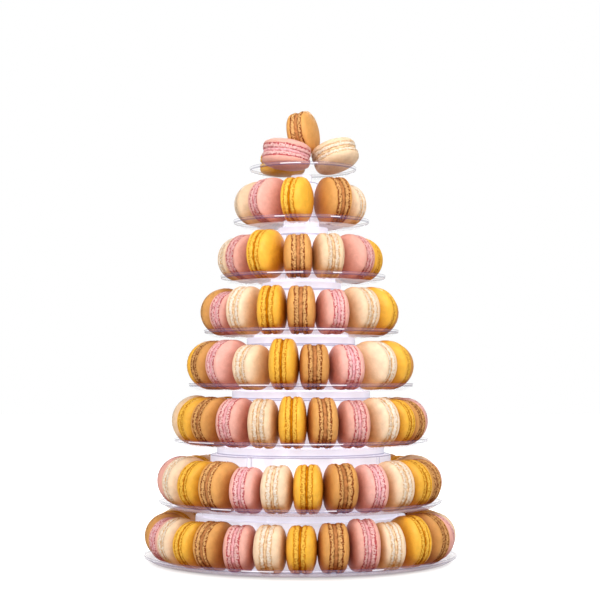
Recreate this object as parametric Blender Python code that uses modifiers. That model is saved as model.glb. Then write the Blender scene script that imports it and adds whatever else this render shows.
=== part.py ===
"""Macaron tower: eight clear formed trays stacked on their hollow hubs, filled with macarons on edge.

Metres, +Z up. The origin is on the table at the centre of the lowest tray. Angles round a tray are
in degrees from the front (-Y), positive towards +X.
"""

import math
import random

import bmesh
import bpy
from mathutils import Matrix, Vector

# ---- stand -------------------------------------------------------------------------------------
TIERS = 8
PITCH = 0.0533            # from one tray's underside to the next, about
TRAY_LIFT = (0.0, -0.0020, 0.0026, 0.0020, 0.0, -0.0006, -0.0003, -0.0021)  # off the even pitch
RIM_RADIUS = 0.150        # of the lowest tray
RIM_STEP = 0.0141         # how much smaller each tray is than the one below
SHEET = 0.0010            # thickness of the formed sheet
RIM_HEIGHT = 0.0070       # above the tray's underside
WALL_RUN = 0.0075         # how far the sloping wall leans out
HUB_INSET = 0.048         # rim radius less the hub's radius at its foot
HUB_TAPER = 0.0012        # how much narrower the hub is at its shoulder
BOSS_STEP = 0.0060        # width of the shoulder
BOSS_HEIGHT = 0.0075      # boss above the shoulder
GAP = 0.0003              # between pieces that touch
TRAY_SIDES = (24, 20, 16, 16, 12, 12, 8, 14)
TRAY_SHIFT = (0.0, 0.0, 0.0004, 0.0004, 0.0008, 0.0024, 0.0008, 0.0024)  # off the axis along X

# ---- macarons ----------------------------------------------------------------------------------
RADIUS = 0.0225           # of an average macaron
RADIUS_SPREAD = 0.03      # largest share that one at the back differs by
RING_INSET = 0.024        # rim radius less the radius of the ring of macarons
RING_OUTSET = (0.0004, 0.0020, 0.0026, 0.0025, 0.0032, 0.0025, 0.0006)  # of each ring, further out
SIDES = 8
CROWN_SHARE = 0.50        # flat of the shell's top, as a share of the radius
SHELL_SHARE = 0.25        # height of the shell's widest line, as a share of the thickness
WAIST_SHARE = 0.91        # radius at the filling, as a share of the radius
PRESS = 0.0005            # how far fused neighbours sink into each other, on each side
STAND_OFF = 0.00025       # half the gap between two groups
HALF_MOST = 0.0136        # the most that half a macaron's thickness comes to
HALF_MOST_FUSED = 0.0146  # and on a side where it has to reach the neighbour it is fused to
TURN_FADE = 0.4           # share of its neighbour's turn that the next one at the back keeps
SEED = 7

FLAVOURS = {
    "pink": (0.80, 0.45, 0.40),
    "cream": (0.87, 0.68, 0.48),
    "yellow": (0.80, 0.46, 0.09),
    "brown": (0.60, 0.34, 0.12),
}
LOWER_CYCLE = ("pink", "cream", "yellow", "brown")
UPPER_CYCLE = ("cream", "pink", "yellow", "brown")

# One row for each full tray: how many macarons, how many are fused to a group, the flavour cycle
# and the place in it of the first of the front ones, and the angle, the facing and the radius in
# millimetres of each of those. The cycle goes on both ways from the first and breaks at the back.
RINGS = (
    (29, 4, LOWER_CYCLE, 0, (
        (-72.4, -60, 21.1), (-60.8, -56, 22), (-49, -47, 21.3), (-37.3, -35, 22.1),
        (-25.1, -19, 21), (-12.1, -13.5, 21.7), (0.4, -5.3, 21.5), (13.3, 5.7, 22.4),
        (25.8, 15.2, 23.7), (37.8, 21.8, 21.7), (50.8, 41, 23.9), (63.6, 60.5, 24),
        (76.8, 78, 22.4),
    )),
    (25, 4, LOWER_CYCLE, 0, (
        (-82.3, -84, 23.5), (-67.1, -64, 24), (-52.7, -48.8, 22.7), (-38.8, -38, 23.1),
        (-24.4, -23, 21), (-10.5, -13.3, 21.9), (3.3, -4, 22.3), (18, 13.6, 22.5),
        (33, 25.3, 21.8), (47, 39, 23), (60.8, 51, 23), (74.2, 60, 22.4),
    )),
    (23, 3, LOWER_CYCLE, 1, (
        (-84, -85, 23.5), (-67.1, -62, 22.9), (-51.1, -50, 22.8), (-35.1, -32.5, 22.8),
        (-19.3, -14.5, 22.6), (-4.1, -3, 23.7), (11.1, 7.6, 23.1), (28.4, 17, 21.9),
        (44.1, 40.5, 22.9), (58.4, 54, 22), (72.7, 62.5, 21.6), (89.3, 84, 22.2),
    )),
    (18, 3, LOWER_CYCLE, 2, (
        (-88.4, -87, 23.6), (-68.7, -65, 23.3), (-49.7, -52.8, 23.4), (-30.3, -34.5, 21),
        (-10.3, -6.8, 23.7), (8.2, 2.2, 21), (28.6, 22, 21), (50.5, 53, 22.9),
        (70.8, 69, 23.3),
    )),
    (16, 3, LOWER_CYCLE, 3, (
        (-87.4, -83, 23.2), (-64, -48.5, 21), (-43.1, -34, 22.8), (-21.3, -12.3, 22.9),
        (0.4, -1.1, 22.6), (23.7, 18.8, 21), (47.2, 39.2, 22.4), (71.7, 64, 23.1),
    )),
    (12, 3, UPPER_CYCLE, 0, (
        (-84, -68, 21.5), (-58.5, -55, 21.8), (-34, -31, 23.5), (-2.2, 0, 21),
        (26, 16.2, 21.4), (57, 53, 21.7), (84, 68, 21.3),
    )),
    (8, 1, UPPER_CYCLE, 0, (
        (-87, -82, 21.8), (-41.5, -52, 21.9), (-5.5, -21, 21.8), (48.3, 26.8, 22.6),
        (88, 62, 21),
    )),
)

# The four loose ones on the top tray: flavour, radius, thickness, centre over the tray's floor,
# and the tilt of the axis from upright about X, about Y and then about Z, in degrees.
LOOSE = (
    ("pink", 0.0234, 0.0260, (-0.0134, -0.0257, 0.0154), (-5, 9, 0)),
    ("yellow", 0.0222, 0.0255, (-0.0175, 0.0214, 0.0135), (0, 0, 0)),
    ("cream", 0.0222, 0.0260, (0.0334, -0.0050, 0.0172), (-13, -19, 0)),
    ("brown", 0.0211, 0.0250, (0.0024, 0.0026, 0.0405), (0, 81, -20)),
)
LOOSE_SIDES = 12


def clear_scene():
    for thing in list(bpy.data.objects):
        bpy.data.objects.remove(thing, do_unlink=True)


def new_collection(name):
    group = bpy.data.collections.new(name)
    bpy.context.scene.collection.children.link(group)
    return group


def material(name, colour, roughness, alpha=1.0):
    made = bpy.data.materials.new(name)
    made.use_nodes = True
    shader = made.node_tree.nodes["Principled BSDF"]
    shader.inputs["Base Color"].default_value = (*colour, 1.0)
    shader.inputs["Roughness"].default_value = roughness
    shader.inputs["Metallic"].default_value = 0.0
    shader.inputs["Alpha"].default_value = alpha
    return made


def turned(name, profile, sides, group):
    """An object whose (radius, height) profile is turned about Z. It runs down the outer side."""
    mesh = bpy.data.meshes.new(name)
    points = [(radius, 0.0, height) for radius, height in profile]
    mesh.from_pydata(points, [(i, i + 1) for i in range(len(points) - 1)], [])
    piece = bpy.data.objects.new(name, mesh)
    group.objects.link(piece)
    screw = piece.modifiers.new("Turn", "SCREW")
    screw.axis = "Z"
    screw.steps = sides
    screw.render_steps = sides
    screw.use_merge_vertices = True
    screw.merge_threshold = 0.0001
    screw.use_smooth_shade = False
    return piece


def evaluated_mesh(piece):
    """The piece's mesh with its modifiers applied."""
    depsgraph = bpy.context.evaluated_depsgraph_get()
    return bpy.data.meshes.new_from_object(piece.evaluated_get(depsgraph))


# ---- trays -------------------------------------------------------------------------------------
def rim_radius(tier):
    return RIM_RADIUS - RIM_STEP * tier


def tray_height(tier):
    """Height of a tray's underside."""
    return PITCH * tier + TRAY_LIFT[tier]


def tray_profile(tier):
    """Upper side of one tray's sheet, from the middle outwards."""
    rim = rim_radius(tier)
    wall = [(rim - WALL_RUN, SHEET), (rim, RIM_HEIGHT)]
    if tier == TIERS - 1:
        return [(0.0, SHEET)] + wall
    foot = rim - HUB_INSET
    shoulder = foot - HUB_TAPER
    top = tray_height(tier + 1) - tray_height(tier) - GAP
    hub = [
        (0.0, top),
        (shoulder - BOSS_STEP, top),
        (shoulder - BOSS_STEP, top - BOSS_HEIGHT),
        (shoulder, top - BOSS_HEIGHT),
        (foot, SHEET),
    ]
    return hub + wall


def make_tray(tier, group, look):
    tray = turned(f"tray_{tier + 1}", tray_profile(tier), TRAY_SIDES[tier], group)
    solid = tray.modifiers.new("Sheet", "SOLIDIFY")
    solid.thickness = SHEET
    solid.offset = -1.0
    solid.use_even_offset = True
    tray.location = (TRAY_SHIFT[tier], 0.0, tray_height(tier))
    tray.data.materials.append(look)
    return tray


# ---- macarons ----------------------------------------------------------------------------------
def macaron_profile(radius, low, high):
    """Two domed shells with a waist between; low and high are the crowns below and above it."""
    return [
        (0.0, high),
        (CROWN_SHARE * radius, high),
        (radius, 2 * SHELL_SHARE * high),
        (WAIST_SHARE * radius, 0.0),
        (radius, -2 * SHELL_SHARE * low),
        (CROWN_SHARE * radius, -low),
        (0.0, -low),
    ]


def join_crown_faces(mesh):
    """Make each flat crown one face, without the point that its profile put on the axis."""
    shape = bmesh.new()
    shape.from_mesh(mesh)
    on_axis = [point for point in shape.verts if point.co.xy.length < GAP]
    bmesh.ops.dissolve_verts(shape, verts=on_axis)
    shape.to_mesh(mesh)
    shape.free()


def macaron(name, flavour, radius, low, high, sides, group, looks):
    """One macaron as a mesh object, its axis along Z and a flat of its rim facing -Y."""
    round_off = math.sqrt(2 * math.pi / (sides * math.sin(2 * math.pi / sides)))
    piece = turned(name, macaron_profile(radius * round_off, low, high), sides, group)
    mesh = evaluated_mesh(piece)
    piece.modifiers.clear()
    piece.data = mesh
    join_crown_faces(mesh)
    mesh.transform(Matrix.Rotation(math.pi / sides, 4, "Z"))
    mesh.materials.clear()
    mesh.materials.append(looks[flavour])
    return piece


def ring_places(count, front, draw):
    """Angle, facing and radius of each macaron of a ring, in order: the front ones, then the rest.

    The rest are evenly spaced, and the turn of the two ends of the front fades out over them.
    """
    first, last = front[0], front[-1]
    spare = 360.0 - (last[0] - first[0])
    rest = count - len(front) + 1
    places = [(angle, face, radius / 1000) for angle, face, radius in front]
    for k in range(1, rest):
        angle = last[0] + spare * k / rest
        turn = (last[1] - last[0]) * TURN_FADE ** k + (first[1] - first[0]) * TURN_FADE ** (rest - k)
        radius = RADIUS * (1.0 + RADIUS_SPREAD * draw.uniform(-1.0, 1.0))
        places.append((angle, angle + turn, radius))
    return places


def ring_radius(tier):
    return rim_radius(tier) - RING_INSET + RING_OUTSET[tier]


def group_sizes(count, most):
    """Group sizes of at most this many, as even as they can be."""
    groups = math.ceil(count / most)
    return [count // groups + (k < count % groups) for k in range(groups)]


def ring_layout(tier):
    """For each macaron of a ring: its angle, facing and radius, and its two half thicknesses.

    Neighbours touch at the edge of their crowns, so the room between two of them gives the half
    thickness on that side. Those that are fused are also made thick enough to meet where their
    turning has slid them past each other.
    """
    count, most, _, _, front = RINGS[tier]
    ring = ring_radius(tier)
    places = ring_places(count, front, random.Random(SEED + tier))
    group_of = [number for number, size in enumerate(group_sizes(count, most)) for _ in range(size)]
    contact = CROWN_SHARE * RADIUS
    room = []
    for i in range(count):
        after = (i + 1) % count
        step, wedge, turn, next_turn = (
            math.radians((degrees + 180.0) % 360.0 - 180.0)
            for degrees in (
                places[after][0] - places[i][0],
                places[after][1] - places[i][1],
                places[i][1] - places[i][0],
                places[after][1] - places[after][0],
            )
        )
        middle = ring * math.sin(step / 2)
        slip = (turn + next_turn) / 2
        slope = math.tan(abs(wedge) / 2)
        reach = middle * math.cos(slip)
        most_room = HALF_MOST
        if group_of[i] == group_of[after]:
            reach += middle * abs(math.sin(slip)) * slope
            most_room = HALF_MOST_FUSED
        room.append(min(reach / math.cos(wedge / 2) - contact * slope, most_room))
    return [(*places[i], room[i - 1], room[i]) for i in range(count)]


def upright(angle, face, ring, height):
    """Matrix that stands a macaron on its edge at an angle round the tray, its rim facing out."""
    around = math.radians(angle)
    place = Vector((ring * math.sin(around), -ring * math.cos(around), height))
    lay = Matrix.Rotation(math.radians(90.0), 4, "Y")
    return Matrix.Translation(place) @ Matrix.Rotation(math.radians(face), 4, "Z") @ lay


def fuse(pieces, name, group):
    """One object from overlapping pieces, which are removed."""
    first = pieces[0]
    if len(pieces) > 1:
        others = new_collection("fusing")
        for piece in pieces[1:]:
            group.objects.unlink(piece)
            others.objects.link(piece)
        union = first.modifiers.new("Fuse", "BOOLEAN")
        union.operation = "UNION"
        union.operand_type = "COLLECTION"
        union.collection = others
        union.solver = "EXACT"
        union.material_mode = "TRANSFER"
        mesh = evaluated_mesh(first)
        first.modifiers.clear()
        first.data = mesh
        for piece in pieces[1:]:
            bpy.data.objects.remove(piece, do_unlink=True)
        bpy.data.collections.remove(others)
    first.name = name
    first.data.name = name
    return first


def make_ring(tier, group, looks):
    """The macarons of one tray, standing on edge side by side, in small fused groups."""
    count, most, cycle, start, _ = RINGS[tier]
    ring = ring_radius(tier)
    floor = tray_height(tier) + SHEET
    layout = ring_layout(tier)
    first = 0
    for number, size in enumerate(group_sizes(count, most)):
        pieces = []
        for k in range(size):
            angle, face, radius, before, after = layout[first + k]
            low = before + (PRESS if k > 0 else -STAND_OFF)
            high = after + (PRESS if k < size - 1 else -STAND_OFF)
            place = start + first + k - (count if angle > 180.0 else 0)
            flavour = cycle[place % len(cycle)]
            piece = macaron("macaron", flavour, radius, low, high, SIDES, group, looks)
            piece.data.transform(upright(angle, face, ring, floor + radius))
            pieces.append(piece)
        fuse(pieces, f"macarons_{tier + 1}_{number + 1:02d}", group)
        first += size


def make_loose(group, looks):
    """The four macarons that lie on the top tray."""
    floor = tray_height(TIERS - 1) + SHEET
    for flavour, radius, thickness, centre, tilt in LOOSE:
        half = thickness / 2
        piece = macaron(
            f"macaron_top_{flavour}", flavour, radius, half, half, LOOSE_SIDES, group, looks
        )
        piece.location = Vector(centre) + Vector((0.0, 0.0, floor))
        piece.rotation_euler = [math.radians(turn) for turn in tilt]


def main():
    clear_scene()
    tower = new_collection("macaron_tower")
    clear_sheet = material("clear_sheet", (0.90, 0.89, 0.94), 0.08, alpha=0.25)
    looks = {name: material(f"macaron_{name}", colour, 0.75) for name, colour in FLAVOURS.items()}
    for tier in range(TIERS):
        make_tray(tier, tower, clear_sheet)
    for tier in range(TIERS - 1):
        make_ring(tier, tower, looks)
    make_loose(tower, looks)


main()
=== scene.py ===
"""Looks of the macaron tower: every macaron with its two shells, feet and filling, and clear trays.

Metres, +Z up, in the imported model's frame. Angles round a tray are in degrees from the front (-Y),
positive towards +X. The layout repeats the construction's rules, so each piece sits where its CAD
node is.
"""

import math
import random

import bpy
import numpy as np
from mathutils import Euler, Matrix, Vector


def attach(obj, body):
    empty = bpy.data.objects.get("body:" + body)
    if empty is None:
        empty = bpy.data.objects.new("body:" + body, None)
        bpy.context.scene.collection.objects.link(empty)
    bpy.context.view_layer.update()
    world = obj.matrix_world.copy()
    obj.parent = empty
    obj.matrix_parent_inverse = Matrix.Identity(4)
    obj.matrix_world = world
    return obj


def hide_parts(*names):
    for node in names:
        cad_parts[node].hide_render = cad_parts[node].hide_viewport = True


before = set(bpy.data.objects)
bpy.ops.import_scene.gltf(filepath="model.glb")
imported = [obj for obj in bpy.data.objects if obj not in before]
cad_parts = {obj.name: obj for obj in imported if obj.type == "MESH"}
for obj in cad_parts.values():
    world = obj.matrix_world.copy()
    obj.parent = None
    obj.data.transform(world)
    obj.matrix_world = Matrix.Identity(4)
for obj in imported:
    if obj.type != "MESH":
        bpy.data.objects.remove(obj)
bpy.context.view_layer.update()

# ---- stand, as in the construction -------------------------------------------------------------
TIERS = 8
PITCH = 0.0533             # from one tray's underside to the next, about
TRAY_LIFT = (0.0, -0.0020, 0.0026, 0.0020, 0.0, -0.0006, -0.0003, -0.0021)  # off the even pitch
TRAY_SHIFT = (0.0, 0.0, 0.0004, 0.0004, 0.0008, 0.0024, 0.0008, 0.0024)  # off the axis along X
RIM_RADIUS = 0.150         # of the lowest tray
RIM_STEP = 0.0141          # how much smaller each tray is than the one below
SHEET = 0.0010             # thickness of the formed sheet
RIM_HEIGHT = 0.0070        # above the tray's underside
WALL_RUN = 0.0075          # how far the sloping wall leans out
HUB_INSET = 0.048          # rim radius less the hub's radius at its foot
HUB_TAPER = 0.0012         # how much narrower the hub is at its shoulder
BOSS_STEP = 0.0060         # width of the shoulder
BOSS_HEIGHT = 0.0075       # boss above the shoulder
GAP = 0.0003               # between pieces that touch

# ---- stand, finer ------------------------------------------------------------------------------
LIP_HEIGHT = 0.0027        # upright band round the top of the wall
LIP_LEDGE = 0.0022         # the step that the band stands on
LIP_SET_BACK = 0.0005      # keeps the band's outer side within the solid rim
LINE = 0.0006              # width of the dark line along each edge of the band, a painted reflection
# Outer side of the band from the ledge up: how far it lies within the rim, and its height above the
# ledge. The painted highlights lie between the last two rows.
BAND_ROWS = ((0.0005, 0.0002), (0.0004, 0.0002 + LINE), (0.0003, 0.0011), (0.0001, 0.0018))
LIP_FROM = -0.3 * LINE     # the lip's looks begin here, as a height above the ledge
BAND_FROM = 1.2 * LINE     # and the band's here
CREASE_REACH = 1.5 * LINE  # how far from a hub's corner the painted dark reflection of its crease reaches
CORNER = 0.0012            # most radius of the sheet's bends
CORNER_SHARE = 0.45        # most of a straight stretch that one of its two bends takes up
CORNER_STEPS = 2
LEAST_BEND = 0.2           # radians: corners with less of a bend than this stay as they are
SHARP_ANGLE = 50.0         # bends of more than this are shaded as edges
ROUND_STEPS = 160          # round a tray
FLUTES = 4                 # upright grooves in a hub
FLUTE_DEPTH = 0.0013
FLUTE_WIDTH = 0.0016
# Where a flute is sampled, in its widths. The line on each side of it fills the outermost step.
FLUTE_STEPS = (-1.75, -1.35, -0.7, 0.0, 0.7, 1.35, 1.75)
FLUTE_TURN = (-18, -33, -54, -39, 42, -27, 20)  # angle of each hub's first flute
# Where each band's painted highlights begin and end, in degrees; they come back every third of a
# turn.
GLINTS = (
    ((-20.7, -8.6), (24, 30)),
    ((-36, -28), (8, 14)),
    ((-58, -41), (-8.7, 19)),
    ((-30.6, -14.9), (9.4, 22)),
    ((-22, -8.7), (5.3, 25.8)),
    ((-24.4, -1), (20, 26)),
    ((-22.3, -12.8), (25, 34.4)),
    ((-24, -2), (11, 16)),
)
GLINT_REPEAT = 120.0
# For each look of the sheet: alpha, colour face on, colour edge on, and its painted glow, which
# stands for the light that it passes on from behind it, as a share of its face-on colour. The
# outside of the lowest walls, the crease and the line are painted dark reflections, the glint a
# painted highlight.
SHEETS = {
    "wall": (0.035, (0.80, 0.74, 0.84), (0.62, 0.56, 0.70), 0.0),
    "low_wall_reflection": (0.42, (0.44, 0.32, 0.44), (0.44, 0.32, 0.44), 0.0),
    "floor": (0.44, (0.90, 0.88, 0.94), (0.84, 0.82, 0.90), 0.56),
    "hub": (0.86, (0.84, 0.84, 0.91), (0.62, 0.59, 0.74), 0.40),
    "crease": (0.90, (0.44, 0.42, 0.56), (0.40, 0.38, 0.52), 0.30),
    "band": (0.14, (0.56, 0.52, 0.68), (0.56, 0.52, 0.68), 0.0),
    "line": (0.46, (0.09, 0.07, 0.22), (0.40, 0.36, 0.60), 0.0),
    "glint": (0.62, (0.94, 0.93, 0.96), (0.86, 0.84, 0.90), 0.4),
}
# Their places among a tray's materials. The line is called EDGE, after where it runs.
WALL, LOW_WALL_REFLECTION, FLOOR, HUB, CREASE, BAND, EDGE, GLINT = range(len(SHEETS))
TIERS_WITH_WALL_REFLECTION = 2                 # the lowest trays, whose walls are seen from above and have a painted reflection on their outside
TURNED = (0.55, 0.97)      # layer weight at which the colour edge on, a painted reflection, begins, and is all there is
HAZE = (60.0, 2.0, 0.5, 0.3, 0.7)  # a texture like those below
HAZE_SHADES = (0.97, 1.02)
SHEET_ROUGHNESS = 0.10
SHEET_SHEEN = 0.7          # specular level

# ---- macarons, as in the construction ----------------------------------------------------------
RADIUS = 0.0225            # of an average macaron
RADIUS_SPREAD = 0.03       # largest share that one at the back differs by
RING_INSET = 0.024         # rim radius less the radius of the ring of macarons
RING_OUTSET = (0.0004, 0.0020, 0.0026, 0.0025, 0.0032, 0.0025, 0.0006)  # of each ring, further out
CROWN_SHARE = 0.50         # flat of the shell's top in the solids, as a share of the radius
HALF_MOST = 0.0136         # the most that half a macaron's thickness comes to
HALF_MOST_FUSED = 0.0146   # and on a side where it has to reach the neighbour it is fused to
TURN_FADE = 0.4            # share of its neighbour's turn that the next one at the back keeps
SEED = 7
LOWER_CYCLE = ("pink", "cream", "yellow", "brown")
UPPER_CYCLE = ("cream", "pink", "yellow", "brown")
# One row for each full tray: how many macarons, how many are fused to a group, the flavour cycle
# and the place in it of the first of the front ones, and the angle, the facing and the radius in
# millimetres of each of those. The cycle goes on both ways from the first and breaks at the back.
RINGS = (
    (29, 4, LOWER_CYCLE, 0, (
        (-72.4, -60, 21.1), (-60.8, -56, 22), (-49, -47, 21.3), (-37.3, -35, 22.1),
        (-25.1, -19, 21), (-12.1, -13.5, 21.7), (0.4, -5.3, 21.5), (13.3, 5.7, 22.4),
        (25.8, 15.2, 23.7), (37.8, 21.8, 21.7), (50.8, 41, 23.9), (63.6, 60.5, 24),
        (76.8, 78, 22.4),
    )),
    (25, 4, LOWER_CYCLE, 0, (
        (-82.3, -84, 23.5), (-67.1, -64, 24), (-52.7, -48.8, 22.7), (-38.8, -38, 23.1),
        (-24.4, -23, 21), (-10.5, -13.3, 21.9), (3.3, -4, 22.3), (18, 13.6, 22.5),
        (33, 25.3, 21.8), (47, 39, 23), (60.8, 51, 23), (74.2, 60, 22.4),
    )),
    (23, 3, LOWER_CYCLE, 1, (
        (-84, -85, 23.5), (-67.1, -62, 22.9), (-51.1, -50, 22.8), (-35.1, -32.5, 22.8),
        (-19.3, -14.5, 22.6), (-4.1, -3, 23.7), (11.1, 7.6, 23.1), (28.4, 17, 21.9),
        (44.1, 40.5, 22.9), (58.4, 54, 22), (72.7, 62.5, 21.6), (89.3, 84, 22.2),
    )),
    (18, 3, LOWER_CYCLE, 2, (
        (-88.4, -87, 23.6), (-68.7, -65, 23.3), (-49.7, -52.8, 23.4), (-30.3, -34.5, 21),
        (-10.3, -6.8, 23.7), (8.2, 2.2, 21), (28.6, 22, 21), (50.5, 53, 22.9),
        (70.8, 69, 23.3),
    )),
    (16, 3, LOWER_CYCLE, 3, (
        (-87.4, -83, 23.2), (-64, -48.5, 21), (-43.1, -34, 22.8), (-21.3, -12.3, 22.9),
        (0.4, -1.1, 22.6), (23.7, 18.8, 21), (47.2, 39.2, 22.4), (71.7, 64, 23.1),
    )),
    (12, 3, UPPER_CYCLE, 0, (
        (-84, -68, 21.5), (-58.5, -55, 21.8), (-34, -31, 23.5), (-2.2, 0, 21),
        (26, 16.2, 21.4), (57, 53, 21.7), (84, 68, 21.3),
    )),
    (8, 1, UPPER_CYCLE, 0, (
        (-87, -82, 21.8), (-41.5, -52, 21.9), (-5.5, -21, 21.8), (48.3, 26.8, 22.6),
        (88, 62, 21),
    )),
)
# On the top tray: flavour, radius, thickness, middle above the tray's floor, and tilt in degrees.
LOOSE = (
    ("pink", 0.0234, 0.0260, (-0.0134, -0.0257, 0.0154), (-5, 9, 0)),
    ("yellow", 0.0222, 0.0255, (-0.0175, 0.0214, 0.0135), (0, 0, 0)),
    ("cream", 0.0222, 0.0260, (0.0334, -0.0050, 0.0172), (-13, -19, 0)),
    ("brown", 0.0211, 0.0250, (0.0024, 0.0026, 0.0405), (0, 81, -20)),
)

# ---- macarons, finer ---------------------------------------------------------------------------
RADIUS_SHARE = 0.994       # keeps the ruffles within the solids
FOOT_STEPS = 128           # round the feet and the filling; the domes have a half and a quarter
FOOT_HEIGHT = 0.0044
BULGE = 0.0011             # from the top of the foot to the widest line of the dome
CROWN_SWELL = 1.04         # height of the round crown, as a share of the flat one in the solids
CROWN_MOST = 0.0141
PARTS = ("dome", "rim")    # of a macaron, with a material each
MARKS = ("foot", "line", "filling", "crevice")  # what a vertex belongs to, from 0 to 1 for each; the last is how much of the crevice's painted shade it takes
# Rows of the outline from the middle of the filling to the widest line of the dome: share of the
# filling's half thickness or of the foot's height, and radius as a share of the filling's radius
# or of the macaron's.
FILLING_ROWS = ((0.80, 0.997), (1.0, 0.972))
FOOT_ROWS = ((0.07, 0.962), (0.30, 0.992), (0.56, 1.001), (0.82, 0.992), (1.0, 0.980))
FILLING_CREVICE_SHADE = 1.0      # how much painted shade the crevice has on the filling's last row
FOOT_CREVICE_SHADE = 0.6         # and on the foot's first row
# The row between the foot and the widest line: its height as a share of the bulge, its radius as a
# share of the macaron's, and its marks.
TURN_ROW = (0.4, 0.993, {"foot": 0.15, "line": 0.30})
FULL_ROWS = len(FILLING_ROWS) + len(FOOT_ROWS) + 2  # with that row and the widest line
DOME_POWER = 2.3           # of the superellipse that a dome's outline follows
DOME_HALF = (0.30, 0.60)   # dome rows with half the steps, in radians of that curve
DOME_QUARTER = (0.88, 1.15, 1.38)  # dome rows with a quarter of the steps
LINE_REACH = 0.0013        # how far from the line between foot and dome its holes lie
LINE_GRAIN = 1.15          # how much finer the holes are across the rim than along it
# Unevenness round a macaron: its size, the least and the most waves round, how many of them are
# added up, and where the peaks of their sum are cut off.
UNEVEN = {
    "oval": (0.004, 2, 4, 2, math.inf),         # share of the radius
    "squeezed": (0.010, 3, 24, 6, math.inf),    # share of the filling's radius
    "frill": (0.00016, 9, 36, 9, math.inf),     # up and down, most at the foot's free edge
    "border": (0.00020, 5, 20, 5, math.inf),    # up and down, most between foot and dome
    "ruffle": (0.00034, 20, 60, 9, 0.6),        # in and out, of the foot
    "dome": (0.00005, 2, 7, 3, math.inf),       # up and down
}
RELIEF_RANGE = (0.8, 1.2)  # depth of a shell's frill and ruffles, as a share of its flavour's
SHIFT = 0.012              # usual sideways shift of a shell, as a share of the radius
LEAN = 0.012               # usual tilt of a shell, as a slope
WIDEST_BORDER = 0.4        # how much of the border's unevenness is left at the widest line

# For each flavour: the filling's half thickness, its radius as a share of the macaron's, and the
# depth of the foot's frill and ruffles as a share of the usual.
BUILDS = {
    "pink": (0.0013, 0.955, 1.15),
    "cream": (0.0010, 0.945, 1.10),
    "yellow": (0.0008, 0.935, 0.80),
    "brown": (0.0016, 0.950, 1.20),
}
# For each flavour, linear colours of the dome, the foot, the painted shade in the holes, the filling
# and the painted shade in the crevice beside the filling; then the dome's roughness, and how strong
# the holes show on the line and in the foot.
COLOURS = {
    "pink": (
        (0.77, 0.39, 0.32), (0.83, 0.50, 0.48), (0.46, 0.025, 0.035), (0.76, 0.38, 0.40),
        (0.46, 0.06, 0.08), 0.50, 0.95, 0.85,
    ),
    "cream": (
        (0.82, 0.60, 0.395), (0.85, 0.73, 0.59), (0.60, 0.27, 0.04), (0.80, 0.58, 0.36),
        (0.58, 0.26, 0.04), 0.50, 0.80, 0.60,
    ),
    "yellow": (
        (0.83, 0.43, 0.042), (0.88, 0.51, 0.075), (0.50, 0.14, 0.001), (0.55, 0.19, 0.003),
        (0.42, 0.12, 0.001), 0.36, 0.95, 0.70,
    ),
    "brown": (
        (0.64, 0.305, 0.082), (0.71, 0.38, 0.14), (0.17, 0.016, 0.001), (0.46, 0.19, 0.065),
        (0.10, 0.014, 0.002), 0.50, 1.0, 0.90,
    ),
}

# No two macarons are baked alike: each one's colour is multiplied by something between these.
TONES = ((0.92, 0.88, 0.84), (1.06, 1.07, 1.10))

# Textures: scale, detail and roughness of the noise, and the range of it that becomes 0 to 1.
TEXTURES = {
    "patches": (160.0, 4.0, 0.6, 0.35, 0.65),
    "grain": (1500.0, 2.0, 0.6, 0.35, 0.70),
    "pores": (900.0, 1.0, 0.5, 0.66, 0.74),
    "crumbs": (640.0, 3.0, 0.62, 0.36, 0.64),   # of the foot
    "smear": (420.0, 2.0, 0.5, 0.35, 0.65),     # of the filling
    "gaps": (330.0, 2.0, 0.5, 0.38, 0.52),      # breaks up the crevice's painted shade, which isn't dark all round
}
# What a texture makes of a colour where it is 0 and where it is 1, as shares of it.
DOME_SHADES = (0.90, 1.07)
FOOT_SHADES = (0.86, 1.06)
FILLING_SHADES = (0.78, 1.16)
GRAIN_SHADE = 0.80
GRAIN_SHARE = 0.35         # how much of the grain's shade shows
HOLE_NOISE = (760.0, 1.0, 0.5)
HOLE_RANGE = (0.70, 0.75)  # where that noise begins to make a hole, and where it is whole
HOLES_ON_LINE = 0.25       # added to the noise on the line, so that most holes are there
HOLES_IN_FOOT = 0.09       # and in the foot
# How far each texture raises the surface.
BUMPS = {
    "patches": 0.00018,
    "grain": 0.00007,
    "pores": 0.00008,
    "crumbs": 0.00025,
    "holes": 0.00025,
}

# Painted shade between neighbours: where a macaron is sheltered by them, its colour is multiplied by
# this, so it turns darker and takes on their colour as light thrown to and fro between them would.
PAINTED_SHADE_TINTS = {
    "pink": (0.64, 0.32, 0.22),
    "cream": (0.74, 0.42, 0.12),
    "yellow": (0.62, 0.32, 0.05),
    "brown": (0.58, 0.28, 0.10),
}
PAINTED_SHADE_REACH = 0.022
PAINTED_SHADE_SAMPLES = 8
PAINTED_SHADE_RANGE = (0.02, 0.70)  # open share of the surroundings where the painted shade is full, and where there is none
LOOSE_PAINTED_SHADE = 0.35       # how much of the painted shade shows on the loose macarons, which are lit all round
RIM_ROUGHNESS = 0.9        # of the feet and the filling
SHEEN = {"dome": 0.26, "rim": 0.02}  # specular level

# ---- view --------------------------------------------------------------------------------------
PICTURE_SIDE = 600
FOCAL_PIXELS = 1601.0
SENSOR = 36.0
CAMERA_PLACE = (-0.0005, -1.55, 0.174)
CAMERA_CLIP = 0.05
HORIZON_ROW = 378.0        # row of the photograph at the camera's height
SHEETS_DEEP = 48           # how many see-through surfaces a ray may pass
AMBIENT = 0.26             # light from all round, as a share of the white that the camera sees
FLOOR_SIDE = 12.0
FLOOR_SHADE = 0.52         # its own paleness
FLOOR_CLOUDS = (3.0, 2.0, 0.5, 0.3, 0.7)  # a texture like those above
FLOOR_SHADES = (0.99, 1.01)
FLOOR_ROUGHNESS = 0.6
FLOOR_UNDERLIGHT = 0.12    # the floor's own light, for the undersides
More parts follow.
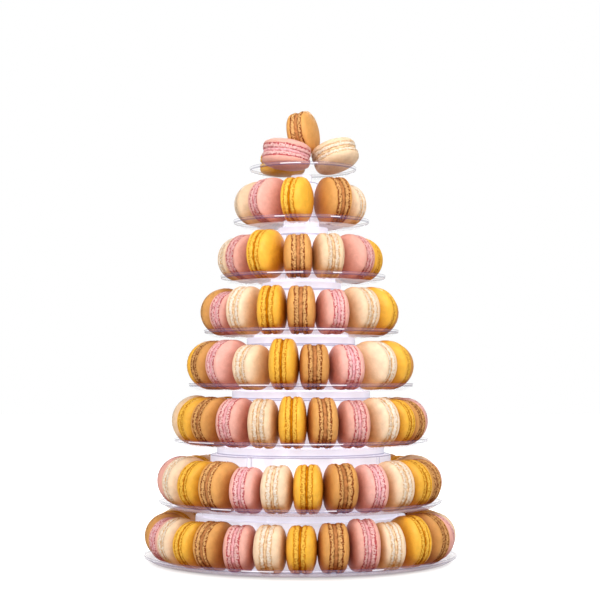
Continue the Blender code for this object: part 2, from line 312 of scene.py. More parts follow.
# Besides, the camera sees this much light of the floor's at the first distance from this place and
# at the second. Nearer to this place, a little in front of the tower, the glow is missing, and the
# darker floor is a painted contact shadow.
FLOOR_GLOW = (0.0, 0.75)
FLOOR_GLOW_REACH = (0.113, 0.150)
PAINTED_SHADOW_MIDDLE = (0.0, -0.04, 0.0)
TOP_STRENGTH = 0.85
TOP_SPREAD = 70.0          # degrees across, for soft shadows
TOP_FROM = (0.3, -0.6, 2.0)
LIGHT_TARGET = (0.0, 0.0, 0.20)
SOFTBOXES = (              # place, width, height and power
    ("front", (-0.45, -1.55, 0.95), 1.0, 0.9, 15.0),
    ("left", (-1.40, -0.90, 0.70), 0.6, 1.2, 6.5),
    ("right", (1.30, -1.10, 0.85), 0.6, 1.2, 9.0),
    ("back", (0.0, 1.6, 1.30), 1.6, 0.8, 20.0),
    ("high", (0.12, -0.46, 0.66), 0.3, 0.2, 1.5),
)


# ---- layout ------------------------------------------------------------------------------------
def rim_radius(tier):
    return RIM_RADIUS - RIM_STEP * tier


def tray_height(tier):
    return PITCH * tier + TRAY_LIFT[tier]


def step_up(tier):
    """From a tray to the next one."""
    return tray_height(tier + 1) - tray_height(tier)


def hub_foot(tier):
    """Radius of a hub where it leaves its tray's floor."""
    return rim_radius(tier) - HUB_INSET


def ring_places(count, front, draw):
    """Angle, facing and radius of each macaron of a ring, in order: the front ones, then the rest.

    The rest are evenly spaced, and the turn of the two ends of the front fades out over them.
    """
    first, last = front[0], front[-1]
    spare = 360.0 - (last[0] - first[0])
    rest = count - len(front) + 1
    first_turn, last_turn = first[1] - first[0], last[1] - last[0]
    places = [(angle, face, radius / 1000) for angle, face, radius in front]
    for k in range(1, rest):
        angle = last[0] + spare * k / rest
        turn = last_turn * TURN_FADE ** k + first_turn * TURN_FADE ** (rest - k)
        radius = RADIUS * (1.0 + RADIUS_SPREAD * draw.uniform(-1.0, 1.0))
        places.append((angle, angle + turn, radius))
    return places


def ring_radius(tier):
    return rim_radius(tier) - RING_INSET + RING_OUTSET[tier]


def group_sizes(count, most):
    """Group sizes of at most this many, as even as they can be."""
    groups = math.ceil(count / most)
    return [count // groups + (k < count % groups) for k in range(groups)]


def half_turned(degrees):
    """An angle in radians, between minus and plus half a turn."""
    return math.radians((degrees + 180.0) % 360.0 - 180.0)


def ring_layout(tier):
    """For each macaron of a ring: its angle, facing and radius, and its two half thicknesses.

    Neighbours touch at the edge of their crowns, so the room between two of them gives the half
    thickness on that side. Those that are fused are also made thick enough to meet where their
    turning has slid them past each other.
    """
    count, most, _, _, front = RINGS[tier]
    ring = ring_radius(tier)
    places = ring_places(count, front, random.Random(SEED + tier))
    group_of = [number for number, size in enumerate(group_sizes(count, most)) for _ in range(size)]
    contact = CROWN_SHARE * RADIUS
    room = []
    for i in range(count):
        after = (i + 1) % count
        angle, face, _ = places[i]
        next_angle, next_face, _ = places[after]
        wedge = half_turned(next_face - face)
        middle = ring * math.sin(half_turned(next_angle - angle) / 2)
        slip = (half_turned(face - angle) + half_turned(next_face - next_angle)) / 2
        slope = math.tan(abs(wedge) / 2)
        reach = middle * math.cos(slip)
        most_room = HALF_MOST
        if group_of[i] == group_of[after]:
            reach += middle * abs(math.sin(slip)) * slope
            most_room = HALF_MOST_FUSED
        room.append(min(reach / math.cos(wedge / 2) - contact * slope, most_room))
    return [(*places[i], room[i - 1], room[i]) for i in range(count)]


def upright(angle, face, ring, height):
    """Where a macaron stands on edge, with its middle at this height and its axis as it faces."""
    around = math.radians(angle)
    place = Vector((ring * math.sin(around), -ring * math.cos(around), height))
    lay = Matrix.Rotation(math.radians(90.0), 4, "Y")
    return Matrix.Translation(place) @ Matrix.Rotation(math.radians(face), 4, "Z") @ lay


# ---- shader helpers ----------------------------------------------------------------------------
def new_material(name):
    made = bpy.data.materials.new(name)
    made.use_nodes = True
    tree = made.node_tree
    return made, tree, tree.nodes["Principled BSDF"]


def fill(tree, socket, value):
    """Sets a socket to a number or a plain colour, or links another node's output to it."""
    if isinstance(value, float):
        socket.default_value = value
    elif isinstance(value, tuple):
        socket.default_value = (*value, 1.0)
    else:
        tree.links.new(value, socket)


def mixed(tree, factor, one, other, blend="MIX"):
    """A colour socket that goes from one to other, or to their blend, with factor."""
    mix = tree.nodes.new("ShaderNodeMix")
    mix.data_type = "RGBA"
    mix.blend_type = blend
    for name, value in (("Factor", factor), ("A", one), ("B", other)):
        fill(tree, mix.inputs[name], value)
    return mix.outputs["Result"]


def product(tree, one, other):
    return mixed(tree, 1.0, one, other, "MULTIPLY")


def maths(tree, operation, one, other):
    step = tree.nodes.new("ShaderNodeMath")
    step.operation = operation
    for socket, value in zip(step.inputs, (one, other)):
        fill(tree, socket, value)
    return step.outputs["Value"]


def spread(tree, value, low, high, to_low=0.0, to_high=1.0):
    """value from low..high to to_low..to_high, clamped."""
    scale = tree.nodes.new("ShaderNodeMapRange")
    scale.inputs["From Min"].default_value = low
    scale.inputs["From Max"].default_value = high
    scale.inputs["To Min"].default_value = to_low
    scale.inputs["To Max"].default_value = to_high
    tree.links.new(value, scale.inputs["Value"])
    return scale.outputs["Result"]


def object_place(tree):
    return tree.nodes.new("ShaderNodeTexCoord").outputs["Object"]


def noise(tree, place, scale, detail, rough):
    pattern = tree.nodes.new("ShaderNodeTexNoise")
    pattern.inputs["Scale"].default_value = scale
    pattern.inputs["Detail"].default_value = detail
    pattern.inputs["Roughness"].default_value = rough
    tree.links.new(place, pattern.inputs["Vector"])
    return pattern.outputs["Fac"]


def texture(tree, place, scale, detail, rough, low, high):
    return spread(tree, noise(tree, place, scale, detail, rough), low, high)


def attribute(tree, name, output="Fac"):
    reader = tree.nodes.new("ShaderNodeAttribute")
    reader.attribute_type = "GEOMETRY"
    reader.attribute_name = name
    return reader.outputs[output]


def bumped(tree, height, depth, before=None):
    """A normal socket: height in 0..1 raises the surface by up to depth."""
    bump = tree.nodes.new("ShaderNodeBump")
    bump.inputs["Strength"].default_value = 1.0
    bump.inputs["Distance"].default_value = depth
    tree.links.new(height, bump.inputs["Height"])
    if before is not None:
        tree.links.new(before, bump.inputs["Normal"])
    return bump.outputs["Normal"]


def toned(colour, share):
    return tuple(channel * share for channel in colour)


def varied(tree, factor, colour, shades):
    """A colour that goes from its first shade to its second with factor."""
    return mixed(tree, factor, *(toned(colour, share) for share in shades))


# ---- materials ---------------------------------------------------------------------------------
def baked_look(flavour, part):
    """Shells, feet and filling of one flavour, told apart by the attributes that the mesh carries.

    It is made for the domes and again for the rim, which is drier, so it has less of a sheen.
    """
    dome, foot, hole, filling, shade_beside_filling, roughness, on_line, on_foot = COLOURS[flavour]
    made, tree, shader = new_material(f"baked_{flavour}_{part}")
    in_foot, in_line, in_filling, in_crevice = (attribute(tree, mark) for mark in MARKS)
    place = attribute(tree, "local", "Vector")
    made_of = {name: texture(tree, place, *values) for name, values in TEXTURES.items()}

    dome_colour = varied(tree, made_of["patches"], dome, DOME_SHADES)
    grainy = maths(tree, "MULTIPLY", made_of["grain"], GRAIN_SHARE)
    dome_colour = mixed(tree, grainy, dome_colour, toned(dome, GRAIN_SHADE))
    foot_colour = varied(tree, made_of["crumbs"], foot, FOOT_SHADES)
    filling_colour = varied(tree, made_of["smear"], filling, FILLING_SHADES)

    # Holes: the noise has to pass a threshold that falls in the foot and most on its line.
    raised = maths(tree, "MULTIPLY", in_line, HOLES_ON_LINE)
    raised = maths(tree, "ADD", raised, maths(tree, "MULTIPLY", in_foot, HOLES_IN_FOOT))
    raised = maths(tree, "ADD", noise(tree, place, *HOLE_NOISE), raised)
    on_line = maths(tree, "MULTIPLY", in_line, on_line)
    strength = maths(tree, "MAXIMUM", on_line, maths(tree, "MULTIPLY", in_foot, on_foot))
    holes = maths(tree, "MULTIPLY", spread(tree, raised, *HOLE_RANGE), strength)

    colour = mixed(tree, in_foot, dome_colour, foot_colour)
    colour = mixed(tree, in_filling, colour, filling_colour)
    # Painted shade in the crevice beside the filling, broken up by a texture.
    crevice = maths(tree, "MULTIPLY", in_crevice, made_of["gaps"])
    colour = mixed(tree, crevice, colour, shade_beside_filling)
    # Painted shade in the holes, which the bump below also sinks.
    colour = mixed(tree, holes, colour, hole)
    colour = product(tree, colour, mixed(tree, attribute(tree, "tone"), *TONES))

    # Painted shade: ambient occlusion finds where neighbours are close, and there the colour is
    # darkened and tinted.
    painted_shade = tree.nodes.new("ShaderNodeAmbientOcclusion")
    painted_shade.samples = PAINTED_SHADE_SAMPLES
    painted_shade.inputs["Distance"].default_value = PAINTED_SHADE_REACH
    painted_shade_share = spread(tree, painted_shade.outputs["AO"], *PAINTED_SHADE_RANGE, 1.0, 0.0)
    painted_shade_share = maths(tree, "MULTIPLY", painted_shade_share, attribute(tree, "painted_shade"))
    colour = mixed(tree, painted_shade_share, colour, product(tree, colour, PAINTED_SHADE_TINTS[flavour]))
    tree.links.new(colour, shader.inputs["Base Color"])

    heights = {
        "patches": made_of["patches"],
        "grain": made_of["grain"],
        "pores": maths(tree, "SUBTRACT", 1.0, made_of["pores"]),
        "crumbs": maths(tree, "MULTIPLY", made_of["crumbs"], in_foot),
        "holes": maths(tree, "SUBTRACT", 1.0, holes),
    }
    normal = None
    for name, depth in BUMPS.items():
        normal = bumped(tree, heights[name], depth, normal)
    tree.links.new(normal, shader.inputs["Normal"])
    shader.inputs["Roughness"].default_value = roughness if part == "dome" else RIM_ROUGHNESS
    shader.inputs["Specular IOR Level"].default_value = SHEEN[part]
    return made


def clear_look(name, alpha, colour, edge, painted_glow):
    """Clear formed sheet: see-through, with a painted reflection where it is seen edge on, and a
    painted glow.
    """
    made, tree, shader = new_material(name)
    weight = tree.nodes.new("ShaderNodeLayerWeight")
    turned = spread(tree, weight.outputs["Facing"], *TURNED)
    plain = varied(tree, texture(tree, object_place(tree), *HAZE), colour, HAZE_SHADES)
    tree.links.new(mixed(tree, turned, plain, edge), shader.inputs["Base Color"])
    shader.inputs["Alpha"].default_value = alpha
    # Painted glow, for the light that the sheet passes on from behind it.
    shader.inputs["Emission Color"].default_value = (*colour, 1.0)
    shader.inputs["Emission Strength"].default_value = painted_glow
    shader.inputs["Roughness"].default_value = SHEET_ROUGHNESS
    shader.inputs["Specular IOR Level"].default_value = SHEET_SHEEN
    return made


def floor_look():
    """Pale floor, which glows into the white behind it away from the tower, and near the tower shows
    a painted shadow.
    """
    made, tree, shader = new_material("pale_floor")
    place = object_place(tree)
    pale = (FLOOR_SHADE, FLOOR_SHADE, FLOOR_SHADE)
    clouded = varied(tree, texture(tree, place, *FLOOR_CLOUDS), pale, FLOOR_SHADES)
    tree.links.new(clouded, shader.inputs["Base Color"])
    shader.inputs["Roughness"].default_value = FLOOR_ROUGHNESS
    length = tree.nodes.new("ShaderNodeVectorMath")
    length.operation = "DISTANCE"
    tree.links.new(place, length.inputs[0])
    length.inputs[1].default_value = PAINTED_SHADOW_MIDDLE
    glow = spread(tree, length.outputs["Value"], *FLOOR_GLOW_REACH, *FLOOR_GLOW)
    seen = tree.nodes.new("ShaderNodeLightPath").outputs["Is Camera Ray"]
    shader.inputs["Emission Color"].default_value = (1.0, 1.0, 1.0, 1.0)
    glow = maths(tree, "ADD", maths(tree, "MULTIPLY", glow, seen), FLOOR_UNDERLIGHT)
    tree.links.new(glow, shader.inputs["Emission Strength"])
    return made


# ---- meshes ------------------------------------------------------------------------------------
def ring_band(lower, upper, count):
    """Quads between two rings of count points that start at these indices."""
    k = np.arange(count)
    after = (k + 1) % count
    return np.stack((lower + k, lower + after, upper + after, upper + k), axis=1)


def halving_band(lower, upper, count):
    """Triangles between a ring of count points and one above it with half as many."""
    k = np.arange(count // 2)
    after = (k + 1) % (count // 2)
    one, two, three = lower + 2 * k, lower + 2 * k + 1, lower + 2 * after
    return np.concatenate((
        np.stack((one, two, upper + k), axis=1),
        np.stack((two, upper + after, upper + k), axis=1),
        np.stack((two, three, upper + after), axis=1),
    ))


def macaron_faces():
    """Quads and triangles of one macaron, the same for all: full rings, then the two domes."""
    quads, triangles = [], []
    for ring in range(2 * FULL_ROWS):
        quads.append(ring_band(ring * FOOT_STEPS, (ring + 1) * FOOT_STEPS, FOOT_STEPS))
    last_full = 2 * FULL_ROWS * FOOT_STEPS
    start = last_full + FOOT_STEPS
    for lower, flip in ((last_full, False), (0, True)):
        count = FOOT_STEPS
        dome_quads, dome_triangles = [], []
        for rows in (DOME_HALF, DOME_QUARTER):
            dome_triangles.append(halving_band(lower, start, count))
            count //= 2
            for k in range(len(rows)):
                if k > 0:
                    dome_quads.append(ring_band(lower, start, count))
                lower = start
                start += count
        k = np.arange(count)
        pole = np.full(count, start)
        dome_triangles.append(np.stack((lower + k, lower + (k + 1) % count, pole), axis=1))
        start += 1
        for made, kept in ((dome_quads, quads), (dome_triangles, triangles)):
            kept.extend(faces[:, ::-1] if flip else faces for faces in made)
    return np.concatenate(quads), np.concatenate(triangles)


QUADS, TRIANGLES = macaron_faces()


def waves(kind, around, draw):
    """One kind of unevenness at these angles round a macaron."""
    size, least, most, count, peak = UNEVEN[kind]
    total = np.zeros_like(around)
    for _ in range(count):
        total += np.cos(draw.integers(least, most) * around + draw.uniform(0, 2 * np.pi))
    return size * np.minimum(total / math.sqrt(count / 2), peak)


def round_angles(count):
    return np.linspace(0, 2 * np.pi, count, endpoint=False)


def ring_points(angles, reach, height):
    """Points round the Z axis. The reach and the height may differ from angle to angle."""
    return np.stack((reach * np.cos(angles), reach * np.sin(angles), height + 0 * angles), axis=1)


def marked(count, **marks):
    """The marks of a ring of this many vertices. Those that aren't given are nought."""
    return np.tile([marks.get(mark, 0.0) for mark in MARKS], (count, 1))


def shell(radius, crown, side, flavour, oval, squeezed, draw):
    """One half of a macaron: its full rings from next to the middle outwards, then its dome's.

    Each ring comes as its points and its marks.
    """
    filling_half, filling_share, relief = BUILDS[flavour]
    relief *= draw.uniform(*RELIEF_RANGE)
    around = round_angles(FOOT_STEPS)
    shift = SHIFT * radius * draw.normal(0, 1, 2)
    lean = draw.normal(0, LEAN, 2)
    frill = relief * waves("frill", around, draw)
    border = waves("border", around, draw)

    def ring(angles, reach, height, share, **marks):
        """share says how much of the shell's shift and tilt the ring has."""
        tilt = reach * (lean[0] * np.cos(angles) + lean[1] * np.sin(angles)) * share
        points = ring_points(angles, reach, side * (height + tilt))
        points[:, :2] += shift * share
        return points, marked(len(angles), **marks)

    full, dome = [], []
    for part, wide in FILLING_ROWS:
        reach = radius * filling_share * wide * squeezed * oval
        crevice = FILLING_CREVICE_SHADE if part == FILLING_ROWS[-1][0] else 0.0
        full.append(ring(around, reach, filling_half * part, 0.0, filling=1.0, crevice=crevice))
    for part, wide in FOOT_ROWS:
        reach = radius * wide * oval + relief * waves("ruffle", around, draw)
        height = filling_half + FOOT_HEIGHT * part + frill * (1.0 - part) + border * part
        line = math.exp(-(((1.0 - part) * FOOT_HEIGHT / LINE_REACH) ** 2))
        crevice = FOOT_CREVICE_SHADE if part == FOOT_ROWS[0][0] else 0.0
        full.append(ring(around, reach, height, part, foot=1.0, line=line, crevice=crevice))
    foot_top = filling_half + FOOT_HEIGHT
    part, wide, marks = TURN_ROW
    full.append(ring(around, radius * wide * oval, foot_top + part * BULGE + border, 1.0, **marks))
    widest = foot_top + BULGE
    full.append(ring(around, radius * oval, widest + WIDEST_BORDER * border, 1.0))
    for every, rows in ((2, DOME_HALF), (4, DOME_QUARTER)):
        angles = round_angles(FOOT_STEPS // every)
        for row in rows:
            reach = radius * math.cos(row) ** (2 / DOME_POWER) * oval[::every]
            height = widest + (crown - widest) * math.sin(row) ** (2 / DOME_POWER)
            dome.append(ring(angles, reach, height + waves("dome", angles, draw), 1.0))
    dome.append(ring(np.zeros(1), np.zeros(1), crown, 1.0))
    return full, dome


def macaron_points(radius, low, high, flavour, draw):
    """Points and marks of one macaron with its axis along Z, in the order of macaron_faces."""
    _, filling_share, _ = BUILDS[flavour]
    around = round_angles(FOOT_STEPS)
    oval = 1.0 + waves("oval", around, draw)
    squeezed = 1.0 + waves("squeezed", around, draw)
    below, below_dome = shell(radius, low, -1, flavour, oval, squeezed, draw)
    above, above_dome = shell(radius, high, 1, flavour, oval, squeezed, draw)
    middle = ring_points(around, radius * filling_share * squeezed * oval, 0.0)
    middle = (middle, marked(FOOT_STEPS, filling=1.0))
    rings = below[::-1] + [middle] + above + above_dome + below_dome
    points, marks = zip(*rings)
    return np.concatenate(points), np.concatenate(marks)


def mesh_object(name, points, quads, triangles, slots, materials):
    """A smooth mesh object. slots gives the material of each quad and then of each triangle."""
    mesh = bpy.data.meshes.new(name)
    mesh.vertices.add(len(points))
    mesh.vertices.foreach_set("co", points.astype(np.float32).ravel())
    corners = np.concatenate((quads.ravel(), triangles.ravel())).astype(np.int32)
    mesh.loops.add(len(corners))
    mesh.loops.foreach_set("vertex_index", corners)
    starts = np.arange(len(quads)) * 4
    starts = np.concatenate((starts, len(quads) * 4 + np.arange(len(triangles)) * 3))
    mesh.polygons.add(len(starts))
    mesh.polygons.foreach_set("loop_start", starts.astype(np.int32))
    for material in materials:
        mesh.materials.append(material)
    mesh.polygons.foreach_set("material_index", slots.astype(np.int32))
    mesh.update(calc_edges=True)
    mesh.validate()
    mesh.shade_smooth()
    piece = bpy.data.objects.new(name, mesh)
    bpy.context.scene.collection.objects.link(piece)
    return piece


def store(mesh, name, values):
    """Keeps a number or a vector for each vertex, where the materials read it."""
    kind, key = ("FLOAT", "value") if values.ndim == 1 else ("FLOAT_VECTOR", "vector")
    layer = mesh.attributes.new(name, kind, "POINT")
    layer.data.foreach_set(key, values.astype(np.float32).ravel())


def transformed(points, matrix):
    turn = np.array(matrix.to_3x3())
    return points @ turn.T + np.array(matrix.translation)


def macaron_piece(name, members, looks, painted_shade=1.0):
    """One object from (flavour, radius, low, high, matrix, draw) for each of its macarons.

    Besides its marks, a vertex carries its place in its own macaron, moved at random so that no two
    textures are alike, its macaron's tone, and how much of its painted shade shows.
    """
    flavours = sorted({member[0] for member in members})
    kinds = [(flavour, part) for flavour in flavours for part in PARTS]
    on_rim = np.arange(len(QUADS)) < 2 * FULL_ROWS * FOOT_STEPS
    points, local, marks, tones = [], [], [], []
    quads, triangles, quad_slots, triangle_slots = [], [], [], []
    start = 0
    for flavour, radius, low, high, matrix, draw in members:
        low, high = (min(CROWN_SWELL * crown, CROWN_MOST) for crown in (low, high))
        own, own_marks = macaron_points(RADIUS_SHARE * radius, low, high, flavour, draw)
        points.append(transformed(own, matrix))
        marks.append(own_marks)
        local.append(own * (1.0, 1.0, LINE_GRAIN) + draw.uniform(0, 1, 3))
        tones.append(np.full(len(own), draw.uniform(0.0, 1.0)))
        quads.append(QUADS + start)
        triangles.append(TRIANGLES + start)
        dome, rim = (kinds.index((flavour, part)) for part in PARTS)
        quad_slots.append(np.where(on_rim, rim, dome))
        triangle_slots.append(np.full(len(TRIANGLES), dome))
        start += len(own)
    piece = mesh_object(
        name,
        np.concatenate(points),
        np.concatenate(quads),
        np.concatenate(triangles),
        np.concatenate(quad_slots + triangle_slots),
        [looks[kind] for kind in kinds],
    )
    for mark, values in zip(MARKS, np.concatenate(marks).T):
        store(piece.data, mark, values)
    store(piece.data, "local", np.concatenate(local))
    store(piece.data, "tone", np.concatenate(tones))
    store(piece.data, "painted_shade", np.full(start, painted_shade))
    return piece


def stand_for(piece, slot, *nodes):
    """Ties a piece to the solids that it shows instead."""
    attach(piece, "root")
    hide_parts(*nodes)


def spun(draw):
    return Matrix.Rotation(draw.uniform(0, 2 * math.pi), 4, "Z")


def make_rings(looks):
    """The macarons that stand on edge, in their groups."""
    for tier, (count, most, cycle, first_flavour, _) in enumerate(RINGS):
        floor = tray_height(tier) + SHEET
        layout = ring_layout(tier)
        first = 0
        for number, size in enumerate(group_sizes(count, most)):
            members = []
            for k in range(first, first + size):
                angle, face, radius, before, after = layout[k]
                place = first_flavour + k - (count if angle > 180.0 else 0)
                flavour = cycle[place % len(cycle)]
                draw = np.random.default_rng((SEED, tier, k))
                stood = upright(angle, face, ring_radius(tier), floor + radius)
                members.append((flavour, radius, before, after, stood @ spun(draw), draw))
            node = f"macarons_{tier + 1}_{number + 1:02d}"
            piece = macaron_piece(f"baked_{node}", members, looks)
            slot = "macaron_mixed" if most > 1 else f"macaron_{members[0][0]}"
            stand_for(piece, slot, node)
            first += size


def make_loose(looks):
    """The four macarons on the top tray."""
    floor = Vector((0.0, 0.0, tray_height(TIERS - 1) + SHEET))
    for number, (flavour, radius, thickness, centre, tilt) in enumerate(LOOSE):
        draw = np.random.default_rng((SEED, TIERS, number))
        turn = Euler([math.radians(angle) for angle in tilt]).to_matrix().to_4x4()
        matrix = Matrix.Translation(Vector(centre) + floor) @ turn @ spun(draw)
        member = (flavour, radius, thickness / 2, thickness / 2, matrix, draw)
        piece = macaron_piece(f"baked_top_{flavour}", [member], looks, LOOSE_PAINTED_SHADE)
        stand_for(piece, f"macaron_{flavour}", f"macaron_top_{flavour}")


# ---- trays -------------------------------------------------------------------------------------
def rounded(points):
    """A polyline whose inner corners are bends, as short steps of a quadratic curve."""
    smooth = [points[0]]
    for before, corner, after in zip(points, points[1:], points[2:]):
        corner, before, after = Vector(corner), Vector(before), Vector(after)
        back, ahead = before - corner, after - corner
        if math.pi - back.angle(ahead) < LEAST_BEND:
            smooth.append(tuple(corner))
            continue
        cut = min(CORNER, CORNER_SHARE * back.length, CORNER_SHARE * ahead.length)
        start, end = corner + back.normalized() * cut, corner + ahead.normalized() * cut
        for k in range(CORNER_STEPS + 1):
            t = k / CORNER_STEPS
            point = start * (1 - t) ** 2 + corner * (2 * t * (1 - t)) + end * t ** 2
            smooth.append(tuple(point))
    smooth.append(points[-1])
    return smooth


def tray_section(tier):
    """Upper side of a tray's sheet from the middle outwards, with its lip, as (radius, height)."""
    rim = rim_radius(tier) - LIP_SET_BACK
    ledge = RIM_HEIGHT - LIP_HEIGHT
    wall = [(rim_radius(tier) - WALL_RUN, SHEET), (rim - LIP_LEDGE, ledge)]
    wall += [(rim - within, ledge + height) for within, height in BAND_ROWS]
    wall += [(rim, RIM_HEIGHT - LINE), (rim, RIM_HEIGHT)]
    if tier == TIERS - 1:
        return [(0.0, SHEET)] + wall
    shoulder = hub_foot(tier) - HUB_TAPER
    boss = shoulder - BOSS_STEP
    top = step_up(tier) - GAP
    hub = [(0.0, top), (boss, top), (boss, top - BOSS_HEIGHT), (shoulder, top - BOSS_HEIGHT)]
    return hub + [(hub_foot(tier), SHEET)] + wall


def under_side(section):
    """The section moved by the sheet's thickness to its lower side."""
    below = []
    for k, (reach, height) in enumerate(section):
        before = Vector(section[max(k - 1, 0)])
        after = Vector(section[min(k + 1, len(section) - 1)])
        along = (after - before).normalized()
        moved = reach + along.y * SHEET if reach > 0 else 0.0
        below.append((max(moved, 0.0), height - along.x * SHEET))
    return below


def flute_middles(tier):
    """Angles of a hub's flutes, measured as in ring_points."""
    if tier == TIERS - 1:
        return []
    return [math.radians(FLUTE_TURN[tier] + 360.0 / FLUTES * k - 90.0) for k in range(FLUTES)]


def flute_widths(tier, angles, middle):
    """How far these angles are from a flute's middle, in widths of a flute."""
    off = (angles - middle + np.pi) % (2 * np.pi) - np.pi
    return off * hub_foot(tier) / FLUTE_WIDTH


def tray_angles(tier):
    """Angles round a tray, closer together at its hub's flutes."""
    angles = list(round_angles(ROUND_STEPS))
    for middle in flute_middles(tier):
        angles += [middle + share * FLUTE_WIDTH / hub_foot(tier) for share in FLUTE_STEPS]
    return np.array(sorted(angle % (2 * np.pi) for angle in angles))


def band_look(tier, one, two):
    """Which look the sheet has between two points of a tray's section."""
    reach, height = (one[0] + two[0]) / 2, (one[1] + two[1]) / 2
    rim = rim_radius(tier) - LIP_SET_BACK
    above_ledge = height - (RIM_HEIGHT - LIP_HEIGHT)
    if reach > rim - LIP_LEDGE and above_ledge > LIP_FROM:
        if BAND_ROWS[-2][1] < above_ledge < BAND_ROWS[-1][1] and reach > rim - BAND_ROWS[0][0]:
            return GLINT
        return BAND if BAND_FROM < above_ledge < LIP_HEIGHT - LINE else EDGE
    foot = hub_foot(tier)
    if tier == TIERS - 1 or reach > foot + CORNER:
        return FLOOR if one[1] == two[1] else WALL
    shoulder = foot - HUB_TAPER
    level = abs(height - (step_up(tier) - GAP - BOSS_HEIGHT)) < CREASE_REACH
    at_shoulder = reach > shoulder - LINE
    at_boss = abs(reach - (shoulder - BOSS_STEP)) < LINE
    return CREASE if tier > 0 and level and (at_shoulder or at_boss) else HUB


def is_fluted(tier, reach, height):
    """Whether the flutes run through this point of a tray's section."""
    if tier == TIERS - 1 or reach >= hub_foot(tier) + CORNER:
        return False
    return SHEET < height < step_up(tier) - BOSS_HEIGHT


def step_looks(tier, one, two, outside, glinting, by_flute):
    """The look of each step round a tray, between two points of its section.

    The lip's band with its painted dark reflection along its edges and its painted highlights, and
    the painted reflection on the lowest walls, lie on the outside of the sheet.
    """
    look = band_look(tier, one, two)
    if look in (BAND, EDGE, GLINT) and not outside:
        look = WALL
    elif look == WALL and outside and tier < TIERS_WITH_WALL_REFLECTION:
        look = LOW_WALL_REFLECTION
    looks = np.full(len(glinting), look)
    if look == GLINT:
        looks[~glinting] = BAND
    tall = abs(one[1] - two[1]) > BOSS_HEIGHT
    if tall and max(one[0], two[0]) < hub_foot(tier) + CORNER:
        looks[by_flute] = CREASE
    return looks


def make_tray(tier, sheets):
    section = rounded(tray_section(tier))
    outline = section + under_side(section)[::-1]
    angles = tray_angles(tier)
    steps = len(angles)
    centres = (angles + np.append(angles[1:], angles[0] + 2 * np.pi)) / 2
    flute = np.zeros(steps)
    by_flute = np.zeros(steps, dtype=bool)
    for middle in flute_middles(tier):
        flute += FLUTE_DEPTH * np.exp(-(flute_widths(tier, angles, middle) ** 2))
        off = np.abs(flute_widths(tier, centres, middle))
        by_flute |= (off > FLUTE_STEPS[-2]) & (off < FLUTE_STEPS[-1])
    # Steps round that carry the band's painted highlights.
    glinting = np.zeros(steps, dtype=bool)
    for first, last in GLINTS[tier]:
        glinting |= (np.degrees(centres) + 90.0 - first) % GLINT_REPEAT < last - first

    rings, starts = [], []
    total = 0
    for reach, height in outline:
        if reach <= 0.0:
            rings.append(np.array([[0.0, 0.0, height]]))
        else:
            out = reach - flute if is_fluted(tier, reach, height) else reach
            rings.append(ring_points(angles, out, height))
        starts.append((total, len(rings[-1])))
        total += len(rings[-1])

    k = np.arange(steps)
    after = (k + 1) % steps
    quads, triangles, quad_slots, triangle_slots = [], [], [], []
    for i, ((one, one_count), (two, two_count)) in enumerate(zip(starts, starts[1:])):
        looks = step_looks(tier, outline[i], outline[i + 1], i >= len(section), glinting, by_flute)
        if 1 in (one_count, two_count):
            fan = (one, two + k, two + after) if one_count == 1 else (one + k, two, one + after)
            triangles.append(np.stack(np.broadcast_arrays(*fan), axis=1))
            triangle_slots.append(looks)
        else:
            quads.append(np.stack((one + k, two + k, two + after, one + after), axis=1))
            quad_slots.append(looks)
    piece = mesh_object(
        f"clear_tray_{tier + 1}",
        np.concatenate(rings) + np.array((TRAY_SHIFT[tier], 0.0, tray_height(tier))),
        np.concatenate(quads),
        np.concatenate(triangles),
        np.concatenate(quad_slots + triangle_slots),
        sheets,
    )
    piece.data.set_sharp_from_angle(angle=math.radians(SHARP_ANGLE))
    stand_for(piece, "clear_sheet", f"tray_{tier + 1}")


# ---- surroundings ------------------------------------------------------------------------------
def make_floor():
    bpy.ops.mesh.primitive_plane_add(size=FLOOR_SIDE, location=(0.0, 0.0, 0.0))
    floor = bpy.context.object
    floor.name = "floor"
    floor.data.materials.append(floor_look())


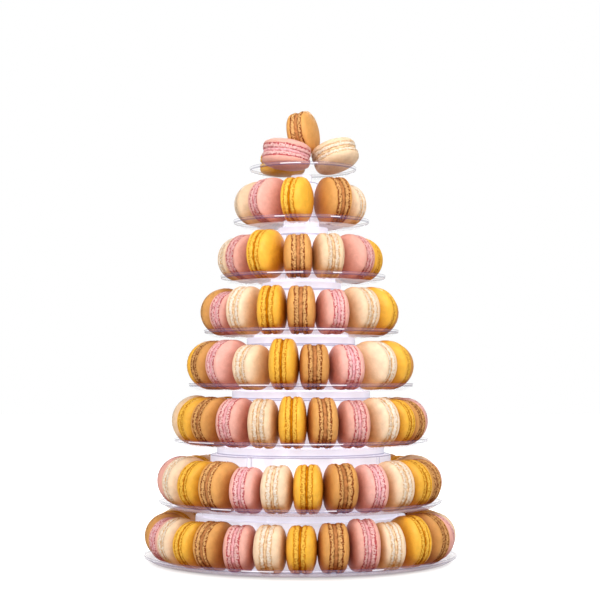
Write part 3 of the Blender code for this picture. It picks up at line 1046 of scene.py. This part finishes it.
def hang(name, light, place):
    """Puts a light up and aims it at the tower."""
    lamp = bpy.data.objects.new(name, light)
    lamp.location = place
    aim = Vector(LIGHT_TARGET) - Vector(place)
    lamp.rotation_euler = aim.to_track_quat("-Z", "Y").to_euler()
    bpy.context.scene.collection.objects.link(lamp)


def make_lights():
    world = bpy.data.worlds.new("studio")
    bpy.context.scene.world = world
    world.use_nodes = True
    tree = world.node_tree
    back = tree.nodes["Background"]
    back.inputs["Color"].default_value = (1.0, 1.0, 1.0, 1.0)
    seen = tree.nodes.new("ShaderNodeLightPath").outputs["Is Camera Ray"]
    tree.links.new(spread(tree, seen, 0.0, 1.0, AMBIENT, 1.0), back.inputs["Strength"])
    for name, place, wide, tall, power in SOFTBOXES:
        light = bpy.data.lights.new(f"softbox_{name}", "AREA")
        light.shape = "RECTANGLE"
        light.size = wide
        light.size_y = tall
        light.energy = power
        hang(f"softbox_{name}", light, place)
    top = bpy.data.lights.new("soft_top", "SUN")
    top.energy = TOP_STRENGTH
    top.angle = math.radians(TOP_SPREAD)
    hang("soft_top", top, TOP_FROM)


def make_camera():
    data = bpy.data.cameras.new("camera")
    data.sensor_width = SENSOR
    data.lens = FOCAL_PIXELS / PICTURE_SIDE * SENSOR
    data.clip_start = CAMERA_CLIP
    camera = bpy.data.objects.new("camera", data)
    camera.location = CAMERA_PLACE
    pitch = math.atan((HORIZON_ROW - PICTURE_SIDE / 2) / FOCAL_PIXELS)
    camera.rotation_euler = (math.pi / 2 + pitch, 0.0, 0.0)
    bpy.context.scene.collection.objects.link(camera)
    bpy.context.scene.camera = camera


def main():
    make_camera()
    looks = {(flavour, part): baked_look(flavour, part) for flavour in COLOURS for part in PARTS}
    make_rings(looks)
    make_loose(looks)
    sheets = [clear_look(f"clear_{name}", *look) for name, look in SHEETS.items()]
    for tier in range(TIERS):
        make_tray(tier, sheets)
    make_floor()
    make_lights()
    bpy.context.scene.cycles.transparent_max_bounces = SHEETS_DEEP
    bpy.context.scene.view_settings.view_transform = "Standard"


main()
